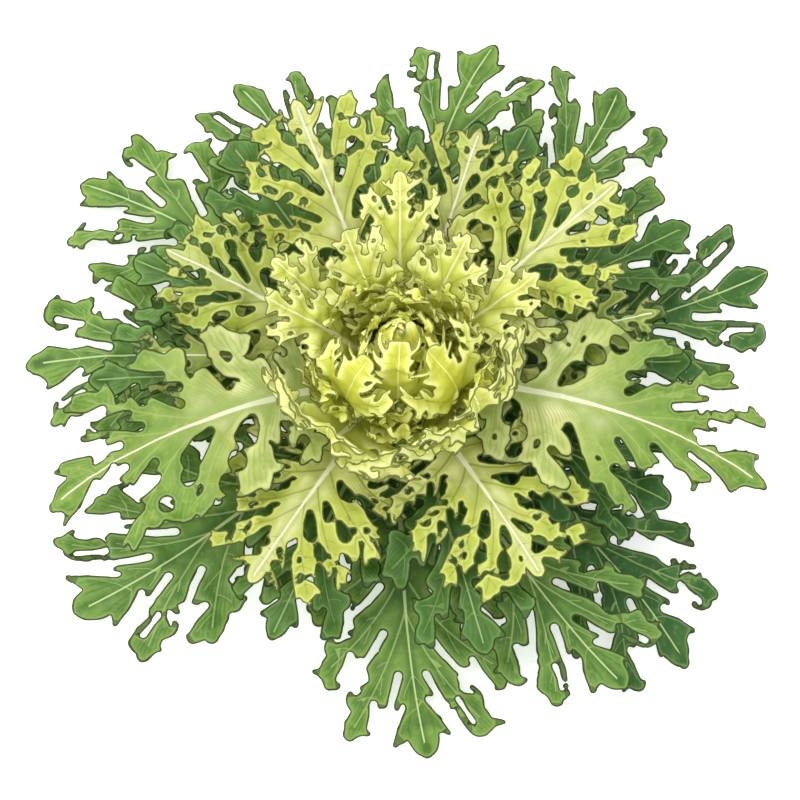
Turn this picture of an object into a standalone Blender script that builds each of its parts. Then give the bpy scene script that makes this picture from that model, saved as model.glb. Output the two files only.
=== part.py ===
"""Curly endive head: a cut crown that carries rings of lobed, waved leaves round a pale curled heart.

Metres, +Z up. The origin is the middle of the crown's flat cut face, which the head stands on.
A leaf is first cut out flat, with its side veins as a fan, and is then laid on a shell of its own: an arc
that leaves the crown at one angle and ends at another, turned about the head's axis. The shells are nested
like bowls, so that leaves which lie over one another stay clear.
"""

import math
import random
from collections import namedtuple

import bpy
from mathutils import Vector
from mathutils.geometry import delaunay_2d_cdt

MM = 0.001

# The crown is the short stem that was cut through below the lowest leaves
CUT_RADIUS = 17 * MM
CROWN_RADIUS = 19 * MM
CROWN_HEIGHT = 36 * MM
CROWN_SHOULDER = 12 * MM
CROWN_DOME = 1.6
CROWN_STEPS = 16

# A steep leaf's foot hangs out over the dome below it, so it stands this much further off
FOOT_CLEAR = 1.0 * MM

# The bud in the middle: small curled leaves sunk into a core that stands on the crown
CORE_RADIUS = 7.0 * MM
CORE_HEIGHT = 15 * MM
CORE_MIDDLE = 0.35
CORE_GAP = 0.5 * MM
CORE_STEPS = 8

# Flat leaf: an egg-shaped outline, broadest at the share of the length that its kind names. The side veins
# leave the midrib between these shares, the first one of the way to the broadest place and the last of the
# length, and run along the midrib before they bend out
FIRST_VEIN = 0.26
LAST_VEIN = 0.70
STALK_TOP = 0.8
STALK_FLARE = 1.1
MIDRIB_END = 0.93
EGG_TURN = math.radians(150)
EGG_FULLNESS = 0.55
VEIN_RUN = 0.78
VEIN_RUN_FALL = 0.30
VEIN_BEND = 0.32

# Where the triangles follow a side vein, as shares along it, by the number of lobes on a side
VEIN_PLACES = {1: (0.0,), 2: (0.0,), 3: (0.0,), 4: (0.0, 0.26, 0.52), 5: (0.0, 0.42)}

# One flank of a lobe, from the notch outwards: share of the way across from the lobe's vein to the notch,
# and share of the way from the notch to the edge. The two flanks of a lobe meet in its tip
FINGERED = ((0.62, 0.22), (0.92, 0.56), (0.50, 0.60), (0.74, 0.92), (0.30, 0.80))
TOOTHED = ((0.46, 0.26), (0.90, 0.74), (0.36, 0.70))
SHALLOW = ((0.86, 0.62), (0.34, 0.34))
LOBE_TIP = 1.05
FLANK_SHIFT = 0.05
JITTER = 0.05
NOTCH_SHIFT = 0.22
PLAIN_SHARE = 0.45

# Windows of a laced leaf: the share of its gaps that stay open notches, and the small notch over a window
OPEN_SHARE = 0.35
CLOSED_NOTCH = 0.76
WINDOW_STEPS = 6
WINDOW_WIDTH = 0.56

# Waves: full at this share of the half width, growing from this share of the length, with crests that bend
# back towards the edge, and the two sides out of step
WAVE_LENGTH = 30 * MM
WAVE_FULL = 0.7
WAVE_START = 0.12
WAVE_GROWTH = 0.30
WAVE_FAN = 0.6
WAVE_STEP = 1.9

# lobes on each side; flank of a lobe; share of the length to the broadest place; share of the way out where
# the notches between lobes begin; where the windows between side veins begin and end (0, 0 for none); half
# width of the leaf stalk; thickness of the blade and of the midrib at its foot; height of the waves at the
# edge; gap between the foot and the crown
Kind = namedtuple("Kind", "lobes flank egg notch window stalk blade rib wave gap colour")


def mm_kind(lobes, flank, egg, notch, window, stalk, blade, rib, wave, gap, colour):
    """A kind of leaf with its stalk, blade, rib, wave and gap written in millimetres."""
    sizes = [size * MM for size in (stalk, blade, rib, wave, gap)]
    return Kind(lobes, flank, egg, notch, window, *sizes, colour)


OUTER = mm_kind(4, FINGERED, 0.62, 0.42, (0, 0), 4.0, 0.8, 3.0, 2.2, 0.4, (0.20, 0.42, 0.12))
UNDER = mm_kind(3, TOOTHED, 0.60, 0.44, (0, 0), 3.4, 0.8, 2.4, 2.0, 0.4, (0.10, 0.28, 0.07))
MIDDLE = mm_kind(5, TOOTHED, 0.56, 0.46, (0.34, 0.68), 4.2, 0.8, 2.6, 2.2, 0.4, (0.66, 0.70, 0.22))
INNER = mm_kind(3, TOOTHED, 0.58, 0.56, (0, 0), 4.0, 0.8, 2.0, 1.4, 0.4, (0.74, 0.74, 0.26))
HEART = mm_kind(2, TOOTHED, 0.58, 0.62, (0, 0), 3.0, 0.8, 1.4, 0.8, 0.4, (0.80, 0.76, 0.24))
BUD = mm_kind(1, TOOTHED, 0.58, 0.62, (0, 0), 2.4, 0.8, 1.0, 0.0, -1.6, (0.80, 0.76, 0.24))

# direction from above in degrees; distance of the tip from the axis, along the blade; half width; height
# of the foot on the crown; angles of the arc above level at the foot and at the tip; sideways turn of the tip
Leaf = namedtuple("Leaf", "azimuth reach half_width foot rise tip sway")


def mm_leaf(azimuth, reach, half_width, foot, rise, tip, sway=0):
    """A leaf written in millimetres and degrees."""
    return Leaf(
        math.radians(azimuth), reach * MM, half_width * MM, foot * MM,
        math.radians(rise), math.radians(tip), math.radians(sway),
    )


OUTER_LEAVES = [
    mm_leaf(83, 145, 36, 10, 17, -10, -8),
    mm_leaf(48, 158, 37, 5.5, 12, -14, 6),
    mm_leaf(11, 154, 33, 10, 17, -11, 5),
    mm_leaf(-39, 160, 34, 5.5, 12, -14, -6),
    mm_leaf(-60, 153, 33, 10, 18, -10, 5),
    mm_leaf(-90, 150, 38, 6.0, 12, -14, 4),
    mm_leaf(-137, 159, 38, 10, 17, -11, -6),
    mm_leaf(174, 149, 33, 10, 17, -12, 4),
    mm_leaf(141, 158, 36, 5.5, 12, -14, 6),
    mm_leaf(112, 143, 30, 8.3, 15, -12, 6),
]
UNDER_LEAVES = [
    mm_leaf(27, 131, 27, 14, 24, -7),
    mm_leaf(62, 112, 25, 18, 30, -2),
    mm_leaf(97, 110, 25, 14, 24, -7),
    mm_leaf(127, 116, 26, 18, 30, -2),
    mm_leaf(157, 117, 26, 14, 24, -7),
    mm_leaf(183, 124, 25, 17, 26.5, -5),
    mm_leaf(-115, 118, 27, 14, 24, -7),
    mm_leaf(-74, 122, 27, 18, 30, -2),
    mm_leaf(-27, 120, 26, 14, 24, -7),
    mm_leaf(0, 116, 25, 18, 30, -2),
]
MIDDLE_LEAVES = [
    mm_leaf(113, 118, 33, 25, 46, 10),
    mm_leaf(71, 104, 27, 22, 38, 4),
    mm_leaf(37, 118, 31, 25, 46, 10),
    mm_leaf(10, 108, 24, 22, 36, 0),
    mm_leaf(-14, 156, 34, 25, 42, -20, -6),
    mm_leaf(-58, 108, 36, 22, 40, -2),
    mm_leaf(-123, 110, 35, 21, 37, -2),
    mm_leaf(198, 154, 34, 25, 42, -20, 6),
    mm_leaf(178, 106, 24, 19.6, 32, -2),
    mm_leaf(155, 106, 28, 22, 37, 2),
]
INNER_LEAVES = [
    mm_leaf(90, 88, 18, 28, 62, 34),
    mm_leaf(56, 76, 15, 30.2, 67, 52),
    mm_leaf(27, 78, 14, 28, 62, 26),
    mm_leaf(-42, 84, 31, 30.5, 22, 119),
    mm_leaf(-127, 86, 32, 28.5, 18, 112),
    mm_leaf(163, 76, 13, 30.5, 67, 32),
    mm_leaf(146, 78, 16, 27.2, 59, 36),
    mm_leaf(118, 78, 15, 31.8, 73, 50),
]
HEART_LEAVES = [
    mm_leaf(azimuth, reach, half_width, foot, rise, tip)
    for azimuth, reach, half_width, foot, rise, tip in (
        (80, 60, 13, 32.2, 74, 100), (20, 57, 11, 33.4, 77, 103), (-38, 78, 20, 31.8, 30, 146),
        (-92, 72, 18, 33.8, 42, 146), (-136, 76, 17, 32.6, 27, 142), (150, 57, 11, 33.4, 77, 102),
    )
]
BUD_LEAVES = [
    mm_leaf(azimuth, reach, half_width, foot, rise, tip)
    for azimuth, reach, half_width, foot, rise, tip in (
        (-90, 40, 9, 40, 60, 120), (34, 39, 9, 40, 62, 120), (150, 39, 9, 40, 62, 120),
        (-30, 28, 6, 45, 76, 126), (90, 28, 6, 45, 76, 126), (210, 28, 6, 45, 76, 126),
    )
]


def vein_point(egg, p, q):
    """Leaf of length and half width 1: the point a share q out along side vein p, 0 lowest and 1 the tip."""
    first = FIRST_VEIN * egg
    foot = first + (LAST_VEIN - first) * p
    turn = EGG_TURN * (1 - p)
    end_x = egg + (1 - egg) * math.cos(turn)
    end_y = math.sin(turn) ** EGG_FULLNESS
    bend_x = foot + (VEIN_RUN - VEIN_RUN_FALL * p) * (end_x - foot)
    bend_y = VEIN_BEND * end_y
    x = (1 - q) ** 2 * foot + 2 * q * (1 - q) * bend_x + q * q * end_x
    return x, 2 * q * (1 - q) * bend_y + q * q * end_y


def place(leaf, kind, p, q, side):
    """The flat leaf's point on side vein p, in metres: x away from the axis and y to one side."""
    base = foot_radius(kind, leaf)
    x, y = vein_point(kind.egg, p, q)
    return base + x * (leaf.reach - base), side * y * leaf.half_width


def plan_side(kind, rng):
    """Where the gaps between the lobes of one side lie: (p, notch, whether a window closes it) of each."""
    half = 0.5 / (kind.lobes + 0.5)
    gaps = []
    for lobe in range(kind.lobes):
        p = (2 * lobe + 2 + rng.uniform(-NOTCH_SHIFT, NOTCH_SHIFT)) * half
        closed = kind.window[1] > 0 and rng.random() > OPEN_SHARE
        gaps.append((p, CLOSED_NOTCH if closed else kind.notch + rng.uniform(-JITTER, JITTER), closed))
    return gaps


def flank(kind, vein, gap, notch, rng):
    """One flank of a lobe as (p, q), from the notch outwards and without the lobe's tip."""
    shape = kind.flank
    if notch > kind.notch + 2 * JITTER:
        shape = SHALLOW
    elif rng.random() < PLAIN_SHARE:
        shape = TOOTHED
    lift = FLANK_SHIFT if gap > vein else -FLANK_SHIFT
    points = []
    for c, q in shape:
        c += rng.uniform(-JITTER, JITTER)
        q += rng.uniform(-JITTER, JITTER) + lift * min(1.0, 4 * q)
        points.append((vein + c * (gap - vein), notch + (1 - notch) * q))
    return points


def half_edge(kind, gaps, rng):
    """The flat leaf's edge on one side, from the stalk to the notch below the end lobe, as (p, q)."""
    points = []
    below, notch_below = 0.0, kind.notch
    for p, notch, _ in gaps:
        vein = 0.5 * (below + p)
        points += flank(kind, vein, below, notch_below, rng)
        points.append((vein, LOBE_TIP + rng.uniform(-JITTER, JITTER)))
        points += flank(kind, vein, p, notch, rng)[::-1]
        points.append((p, notch))
        below, notch_below = p, notch
    return points


def flat_outline(kind, leaf, gaps_right, gaps_left, rng):
    """Closed outline of the flat leaf, anticlockwise."""
    base = foot_radius(kind, leaf)
    length = leaf.reach - base
    right = [place(leaf, kind, p, q, -1) for p, q in half_edge(kind, gaps_right, rng)]
    left = [place(leaf, kind, p, q, 1) for p, q in half_edge(kind, gaps_left, rng)]
    ends = {}
    for side, (p, notch, _) in ((-1, gaps_right[-1]), (1, gaps_left[-1])):
        ends[side] = [place(leaf, kind, at, q, side) for at, q in flank(kind, 1.0, p, notch, rng)]
    end = ends[-1] + [place(leaf, kind, 1.0, LOBE_TIP, 1)] + ends[1][::-1]
    top = base + STALK_TOP * FIRST_VEIN * kind.egg * length
    stalk = [(top, side * STALK_FLARE * kind.stalk) for side in (-1, 1)]
    foot = [(base, side * kind.stalk) for side in (-1, 1)]
    return [foot[0], stalk[0]] + right + end + left[::-1] + [stalk[1], foot[1]]


def flat_windows(kind, leaf, gaps, side, rng):
    """The openings between side veins of a laced leaf, anticlockwise."""
    half = 0.5 / (kind.lobes + 0.5)
    inner, outer = kind.window
    windows = []
    for middle, _, closed in gaps:
        low = inner + rng.uniform(-JITTER, JITTER)
        high = outer + rng.uniform(-0.5, 0.5) * JITTER
        if not closed:
            continue
        ring = []
        for step in range(WINDOW_STEPS):
            turn = math.tau * step / WINDOW_STEPS
            q = 0.5 * (low + high) + 0.5 * (high - low) * math.cos(turn)
            ring.append(place(leaf, kind, middle + WINDOW_WIDTH * half * math.sin(turn), q, side))
        windows.append(ring if side < 0 else ring[::-1])
    return windows


def vein_lines(kind, leaf, gaps, side):
    """Side veins of one side of the flat leaf, each a list of points from the midrib outwards."""
    lines = []
    below = 0.0
    for p, _, _ in gaps:
        lines.append([place(leaf, kind, 0.5 * (below + p), q, side) for q in VEIN_PLACES[kind.lobes]])
        below = p
    return lines


def body_radius(height):
    """Radius of the crown at a height, a barrel under a dome, or of the bud's egg-shaped core above it."""
    if height > CROWN_HEIGHT:
        share = (height - CROWN_HEIGHT) / CORE_HEIGHT
        return CORE_RADIUS * math.sqrt(max(0.0, 1 - ((share - CORE_MIDDLE) / (1 - CORE_MIDDLE)) ** 2))
    if height < CROWN_SHOULDER:
        return CUT_RADIUS + (CROWN_RADIUS - CUT_RADIUS) * math.sin(0.5 * math.pi * height / CROWN_SHOULDER)
    share = (height - CROWN_SHOULDER) / (CROWN_HEIGHT - CROWN_SHOULDER)
    return CROWN_RADIUS * math.sqrt(max(0.0, 1 - share ** CROWN_DOME))


def foot_radius(kind, leaf):
    """Distance of the leaf's foot from the axis."""
    return body_radius(leaf.foot) + kind.gap + FOOT_CLEAR * math.sin(leaf.rise)


def on_shell(kind, leaf, x, y, lift):
    """The place on the head of the flat leaf's point, raised by lift from its shell."""
    base = foot_radius(kind, leaf)
    away = math.hypot(x, y)
    along = away - base
    length = leaf.reach - base
    fall = (leaf.rise - leaf.tip) / length
    angle = leaf.rise - fall * along
    radius = base + (math.sin(leaf.rise) - math.sin(angle)) / fall
    height = leaf.foot + (math.cos(angle) - math.cos(leaf.rise)) / fall
    turn = leaf.azimuth + math.atan2(y, x) * away / radius + leaf.sway * (along / length) ** 2
    radius -= lift * math.sin(angle)
    height += lift * math.cos(angle)
    return Vector((radius * math.cos(turn), radius * math.sin(turn), height))


def wave(kind, leaf, x, y, phase):
    """Height of the leaf's waves, which grow from the midrib to the edge and from the foot outwards."""
    base = foot_radius(kind, leaf)
    along = (x - base) / (leaf.reach - base)
    share = min(1.0, abs(y) / (WAVE_FULL * leaf.half_width))
    share *= min(1.0, max(0.0, (along - WAVE_START) / WAVE_GROWTH))
    side = phase if y > 0 else phase + WAVE_STEP
    return kind.wave * share * math.sin(math.tau * math.hypot(x, WAVE_FAN * y) / WAVE_LENGTH + side)


def leaf_object(name, kind, leaf, material, collection, seed):
    """One leaf: its outline filled with triangles along its veins, laid on its shell and thickened."""
    rng = random.Random(seed)
    gaps = {side: plan_side(kind, rng) for side in (-1, 1)}
    rings = [flat_outline(kind, leaf, gaps[-1], gaps[1], rng)]
    base = foot_radius(kind, leaf)
    lines = [[(base, 0.0), (base + MIDRIB_END * (leaf.reach - base), 0.0)]]
    for side in (-1, 1):
        rings += flat_windows(kind, leaf, gaps[side], side, rng)
        lines += vein_lines(kind, leaf, gaps[side], side)
    phase = rng.uniform(0, math.tau)
    points, edges, loops = [], [], []
    for ring in rings:
        loops.append(list(range(len(points), len(points) + len(ring))))
        points += ring
    for line in lines:
        edges += [(i, i + 1) for i in range(len(points), len(points) + len(line) - 1)]
        points += line
    flat = [Vector((x / MM, y / MM)) for x, y in points]
    corners, _, faces, _, _, inside = delaunay_2d_cdt(flat, edges, loops, 0, 1e-4)
    placed = []
    for corner in corners:
        x, y = corner.x * MM, corner.y * MM
        placed.append(on_shell(kind, leaf, x, y, wave(kind, leaf, x, y, phase)))
    kept = [face for face, within in zip(faces, inside) if within == [0]]
    mesh = bpy.data.meshes.new(name)
    mesh.from_pydata(placed, [], kept)
    mesh.materials.append(material)
    obj = bpy.data.objects.new(name, mesh)
    collection.objects.link(obj)
    thicken(obj, kind, leaf, corners)
    return obj


def thicken(obj, kind, leaf, corners):
    """Solidify, full at the foot of the midrib and thin in the blade."""
    group = obj.vertex_groups.new(name="thickness")
    thin = kind.blade / kind.rib
    for index, corner in enumerate(corners):
        share = 0.0
        if abs(corner.y) < 0.01:
            share = max(0.0, 1 - corner.x * MM / leaf.reach)
        group.add([index], thin + (1 - thin) * share, "REPLACE")
    solid = obj.modifiers.new("thickness", "SOLIDIFY")
    solid.thickness = kind.rib
    solid.offset = -1
    solid.vertex_group = group.name


def turned(name, heights, steps, material, collection):
    """A body turned about the head's axis from its radius at each height, top to bottom, closed below."""
    profile = [(body_radius(height), height) for height in heights] + [(0.0, heights[-1])]
    mesh = bpy.data.meshes.new(name)
    mesh.from_pydata([(r, 0, z) for r, z in profile], [(i, i + 1) for i in range(len(profile) - 1)], [])
    mesh.materials.append(material)
    obj = bpy.data.objects.new(name, mesh)
    collection.objects.link(obj)
    screw = obj.modifiers.new("turn", "SCREW")
    screw.steps = screw.render_steps = steps
    screw.use_merge_vertices = True
    screw.merge_threshold = 0.00005
    return obj


def bud(name, material, collection, seed):
    """The bud: small curled leaves joined to their core by one union."""
    low, high = CROWN_HEIGHT + CORE_GAP, CROWN_HEIGHT + CORE_HEIGHT
    heights = [low + (high - low) * share for share in (1.0, 0.95, 0.82, 0.6, 0.3, 0.0)]
    core = turned(name, heights, CORE_STEPS, material, collection)
    blades = bpy.data.collections.new("bud_blades")
    bpy.context.scene.collection.children.link(blades)
    for number, leaf in enumerate(BUD_LEAVES, 1):
        leaf_object(f"bud_blade_{number}", BUD, leaf, material, blades, seed + number)
    join = core.modifiers.new("join", "BOOLEAN")
    join.operation = "UNION"
    join.operand_type = "COLLECTION"
    join.collection = blades
    graph = bpy.context.evaluated_depsgraph_get()
    joined = bpy.data.meshes.new_from_object(core.evaluated_get(graph))
    core.modifiers.clear()
    core.data = joined
    for blade in list(blades.objects):
        bpy.data.objects.remove(blade)
    bpy.data.collections.remove(blades)
    return core


def finish(name, colour, roughness):
    """A Principled material of one colour."""
    material = bpy.data.materials.new(name)
    material.use_nodes = True
    shader = material.node_tree.nodes["Principled BSDF"]
    shader.inputs["Base Color"].default_value = (*colour, 1)
    shader.inputs["Roughness"].default_value = roughness
    shader.inputs["Metallic"].default_value = 0
    return material


def main():
    for obj in list(bpy.data.objects):
        bpy.data.objects.remove(obj)
    collection = bpy.data.collections.new("curly_endive_head")
    bpy.context.scene.collection.children.link(collection)
    heights = [CROWN_HEIGHT * share for share in (1.0, 0.96, 0.85, 0.65, 0.36, 0.15, 0.0)]
    turned("crown", heights, CROWN_STEPS, finish("cut_stem", (0.80, 0.78, 0.62), 0.6), collection)
    rings = [
        ("outer_leaf", OUTER, OUTER_LEAVES), ("under_leaf", UNDER, UNDER_LEAVES),
        ("middle_leaf", MIDDLE, MIDDLE_LEAVES), ("inner_leaf", INNER, INNER_LEAVES),
        ("heart_leaf", HEART, HEART_LEAVES),
    ]
    seed = 0
    for ring, kind, leaves in rings:
        material = finish(ring, kind.colour, 0.45)
        for number, leaf in enumerate(leaves, 1):
            seed += 1
            leaf_object(f"{ring}_{number:02d}", kind, leaf, material, collection, seed)
    bud("heart_bud", finish("heart_bud", BUD.colour, 0.45), collection, seed)


main()
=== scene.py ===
"""Curly endive head: lobed, toothed and waved leaves in rings round a curled yellow heart."""

import math
import random
from collections import namedtuple

import bpy
import numpy as np
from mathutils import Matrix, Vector, kdtree, noise
from mathutils.geometry import delaunay_2d_cdt


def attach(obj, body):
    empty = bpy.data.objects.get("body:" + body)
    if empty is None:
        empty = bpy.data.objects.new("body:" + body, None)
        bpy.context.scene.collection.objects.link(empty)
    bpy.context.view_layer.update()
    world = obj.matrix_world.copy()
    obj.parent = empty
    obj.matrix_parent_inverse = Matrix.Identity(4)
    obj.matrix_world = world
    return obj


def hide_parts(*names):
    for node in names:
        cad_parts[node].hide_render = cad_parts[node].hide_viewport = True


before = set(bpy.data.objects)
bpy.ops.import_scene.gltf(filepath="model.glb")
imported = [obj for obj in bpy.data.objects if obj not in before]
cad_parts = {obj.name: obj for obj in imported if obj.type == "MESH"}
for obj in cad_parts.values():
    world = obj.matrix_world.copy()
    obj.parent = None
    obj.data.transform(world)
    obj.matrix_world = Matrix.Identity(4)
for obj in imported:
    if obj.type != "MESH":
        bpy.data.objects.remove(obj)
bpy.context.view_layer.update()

MM = 0.001

# Crown and bud core, with the same sizes as their solids
CUT_RADIUS = 17 * MM
CROWN_RADIUS = 19 * MM
CROWN_HEIGHT = 36 * MM
CROWN_SHOULDER = 12 * MM
CROWN_DOME = 1.6
FOOT_CLEAR = 1.0 * MM
CORE_RADIUS = 7.0 * MM
CORE_HEIGHT = 15 * MM
CORE_MIDDLE = 0.35
CORE_GAP = 0.5 * MM

# Flat leaf: side veins in a fan, lobes between notches, windows in the laced leaves
FIRST_VEIN = 0.26
LAST_VEIN = 0.70
STALK_TOP = 0.8
STALK_FLARE = 1.1
EGG_TURN = math.radians(150)
EGG_FULLNESS = 0.55
VEIN_RUN = 0.78
VEIN_RUN_FALL = 0.30
VEIN_BEND = 0.32
JITTER = 0.05
NOTCH_SHIFT = 0.22
NOTCH_DEEPER = 0.05
OPEN_SHARE = 0.35
CLOSED_NOTCH = 0.76

# Waves across the blade
WAVE_LENGTH = 30 * MM
WAVE_FULL = 0.7
WAVE_START = 0.12
WAVE_GROWTH = 0.30
WAVE_FAN = 0.6
WAVE_STEP = 1.9

# Lobes: how far out they end, how much that varies, and how much further the end lobe's fingers lean
LOBE_END = 1.0
LOBE_VARIES = 0.04
END_LEAN = 2.4

# A lobe fills its room up to this far below its notch; lace and gaps begin this close to it, and a gap is
# open this far past it; how far out a gap's cut runs
FULL_BELOW = 0.16
NOTCH_MARGIN = 0.02
OPEN_PAST = 0.12
PAST_EDGE = 1.12

# Fingers: place of the first on its flank, its shift above and below the side vein, how far each strays,
# where on the flank they start and how far they spread, and how much lower they start beside lace
FIRST_FINGER = 0.55
SHIFT_ABOVE = 0.20
SHIFT_BELOW = -0.05
FINGER_STRAYS = 0.15
FLANK_START = 0.06
FLANK_SPREAD = 0.98
BESIDE_LACE = 0.04

# How the sizes of the fingers and of the slits at their ends vary; the shortest finger, and from where and
# how fast they grow shorter towards the end of the lobe; how far their roots stray; how far across and out
# they bend; where along a finger its half width is given; its swelling and tip, as shares of its end
FINGER_SIZES = (0.85, 1.15)
SLIT_SIZES = (0.5, 1.3)
SHORTEST_FINGER = 0.25
SHORTER_FROM = 0.55
SHORTER_BY = 0.75
ROOT_STRAYS = 0.04
BEND_ACROSS = 0.55
BEND_OUT = 0.25
FINGER_AT = (0, 0.6, 0.85, 1)
FINGER_SWELLING = 1.15
FINGER_TIP = 0.6

# Teeth: how their lengths and points vary, how far they stand out and lean ahead, as shares of their
# length, and half width of their root, as a share of the finger's
TOOTH_SIZES = (0.7, 1.25)
POINT_SIZES = (0.85, 1.2)
TOOTH_OUT = 0.8
TOOTH_AHEAD = 0.9
TOOTH_ROOT = 0.7

# Half widths of the hollow between two fingers and of the open gap between two lobes, as shares of their
# own, from the round bottom to the margin; the strap that joins two fingers, as a share of their ends
HOLLOW_AT = (0, 0.33, 0.67, 1)
HOLLOW_SHAPE = (1.3, 1.1, 0.8, 1.1)
HOLLOW_SIZES = (0.8, 1.2)
GAP_SHAPE = (1.8, 1.6, 1.1, 1.8)
STRAP = 0.75

# Lace: how far out it starts, how much of the room between the side veins it fills at its start and end
LACE_START = 0.15
LACE_FILLS = (0.95, 0.7)

# Its holes, as (share out where one starts, where it ends, half width as a share of the room); half widths
# along a hole, how they vary, how far a hole's start, end and side stray; smallest one kept, in square mm
LACE_HOLES = ((0.24, 0.44, 0.42), (0.57, 0.66, 0.36), (0.76, 0.82, 0.28))
HOLE_SHAPE = (0.45, 0.85, 1.0)
HOLE_SIZES = (0.8, 1.1)
START_STRAYS = 0.04
END_STRAYS = 0.03
HOLE_STRAYS = 0.35
SMALLEST_HOLE = 0.8

# Middle leaves that reach further than this are cut like the green ones past their laced foot
LONG_REACH = 140 * MM

# Depth of a point far outside the blade
OUTSIDE = -99.0

# Length and width of the grid, as shares of the leaf's; how far out the stalk's strip runs and how wide it
# ends; how close to thicker blade a thin part is kept, in half widths of a tooth's point
GRID_LONG = 1.1
GRID_WIDE = 1.25
STALK_RUN = 0.45
STALK_END = 1.8
THIN_KEPT = 1.3

# Points this far inside the edges, in millimetres, keep the drawn edge and the pale rim even; all points
# stay clear of edges and veins by these shares of their distance
INSET = 0.6
CLEAR_OF_EDGE = 0.55
CLEAR_OF_VEIN = 0.5

# Half widths in millimetres of the side veins and of the veins of the fingers, their share at the leaf's
# foot, and what of it is lost at its tip; how far out the midrib runs
MAIN_VEIN = 0.5
FINE_VEIN = 0.26
VEIN_FOOT = 1.25
VEIN_LOSS = 0.75
MIDRIB_RUN = 0.97

# The rolled margin and the frill fade over these millimetres from the edge, and begin at these shares of
# the way out, growing over these
ROLL_WIDTH = 3.5
ROLL_START = 0.3
ROLL_GROWTH = 0.3
FRILL_WIDTH = 5.0
FRILL_START = 0.15
FRILL_GROWTH = 0.25

# Coarse and fine frill, as (length, height as a share of the ring's frill, what is added to the seed), and
# how far apart the frills of two seeds lie in the noise
FRILLS = ((8 * MM, 2.2, 0.0), (4 * MM, 1.2, 0.5))
SEED_STEP = 7.3

# The swellings rise over these millimetres from a vein and from the edge, where this share of them is left
SWELL_WIDTH = 2.6
SWELL_EDGE = 3
SWELL_LEFT = 0.2

# The drawn midrib: half width at its foot and its least, as shares of the stalk's, how fast it narrows, and
# how high it stands over the blade
RIB_FOOT = 0.55
RIB_LEAST = 0.085
RIB_TAPER = 1.6
RIB_LIFT = 0.35 * MM

# No blade hangs lower than this over the table
TABLE_CLEAR = 0.9 * MM

# Camera and lamp
CAMERA_ELEVATION = math.radians(77)
CAMERA_DISTANCE = 0.89
CAMERA_TARGET = (0.0, -0.0105, 0.02)
LAMP_PLACE = (-0.7, 0.35, 1.5)
LAMP_TARGET = (0, 0, 0.03)

Kind = namedtuple("Kind", "lobes egg notch laced stalk blade rib wave gap")


def mm_kind(lobes, egg, notch, laced, stalk, blade, rib, wave, gap):
    """A kind of leaf with its stalk, blade, rib, wave and gap written in millimetres."""
    return Kind(lobes, egg, notch, laced, *(size * MM for size in (stalk, blade, rib, wave, gap)))


OUTER = mm_kind(4, 0.62, 0.42, False, 4.0, 0.5, 3.0, 2.2, 0.4)
UNDER = mm_kind(3, 0.60, 0.44, False, 3.4, 0.5, 2.4, 2.0, 0.4)
MIDDLE = mm_kind(5, 0.56, 0.46, True, 4.2, 0.5, 2.6, 2.2, 0.4)
INNER = mm_kind(3, 0.58, 0.56, False, 4.0, 0.32, 2.0, 1.4, 0.4)
HEART = mm_kind(2, 0.58, 0.62, False, 3.0, 0.30, 1.4, 0.8, 0.4)
BUD = mm_kind(1, 0.58, 0.62, False, 2.4, 0.28, 1.0, 0.0, -1.6)
CURL = mm_kind(2, 0.60, 0.46, False, 2.4, 0.28, 1.2, 0.8, 0.4)

# How finely a ring's leaves are made, in millimetres: distance between points of the blade and of its edge;
# frill of the margin; swell of the blade between its veins; how far the margin rolls outwards, and how far
# on a leaf that closes over the heart
Detail = namedtuple("Detail", "mesh edge frill swell roll flare")
DETAILS = {
    "outer_leaf": Detail(2.5, 0.85, 1.0, 0.8, 0.0, 0.0),
    "under_leaf": Detail(2.8, 1.00, 1.2, 0.7, 0.0, 0.0),
    "middle_leaf": Detail(2.2, 0.80, 1.3, 0.7, 0.0, 0.0),
    "inner_leaf": Detail(1.6, 0.65, 1.5, 0.5, 1.8, 7.0),
    "heart_leaf": Detail(1.5, 0.60, 1.7, 0.4, 1.4, 3.2),
    "heart_bud": Detail(1.3, 0.55, 1.2, 0.3, 1.0, 0.2),
}

Leaf = namedtuple("Leaf", "azimuth reach half_width foot rise tip sway")


def mm_leaf(azimuth, reach, half_width, foot, rise, tip, sway=0):
    """A leaf written in millimetres and degrees."""
    return Leaf(
        math.radians(azimuth), reach * MM, half_width * MM, foot * MM,
        math.radians(rise), math.radians(tip), math.radians(sway),
    )


OUTER_LEAVES = (
    (83, 145, 36, 10, 17, -10, -8), (48, 158, 37, 5.5, 12, -14, 6), (11, 154, 33, 10, 17, -11, 5),
    (-39, 160, 34, 5.5, 12, -14, -6), (-60, 153, 33, 10, 18, -10, 5), (-90, 150, 38, 6.0, 12, -14, 4),
    (-137, 159, 38, 10, 17, -11, -6), (174, 149, 33, 10, 17, -12, 4), (141, 158, 36, 5.5, 12, -14, 6),
    (112, 143, 30, 8.3, 15, -12, 6),
)
UNDER_LEAVES = (
    (27, 131, 27, 14, 24, -7), (62, 112, 25, 18, 30, -2), (97, 110, 25, 14, 24, -7),
    (127, 116, 26, 18, 30, -2), (157, 117, 26, 14, 24, -7), (183, 124, 25, 17, 26.5, -5),
    (-115, 118, 27, 14, 24, -7), (-74, 122, 27, 18, 30, -2), (-27, 120, 26, 14, 24, -7),
    (0, 116, 25, 18, 30, -2),
)
MIDDLE_LEAVES = (
    (113, 118, 33, 25, 46, 10), (71, 104, 27, 22, 38, 4), (37, 118, 31, 25, 46, 10),
    (10, 108, 24, 22, 36, 0), (-14, 156, 34, 25, 42, -20, -6), (-58, 108, 36, 22, 40, -2),
    (-123, 110, 35, 21, 37, -2), (198, 154, 34, 25, 42, -20, 6), (178, 106, 24, 19.6, 32, -2),
    (155, 106, 28, 22, 37, 2),
)
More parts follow.
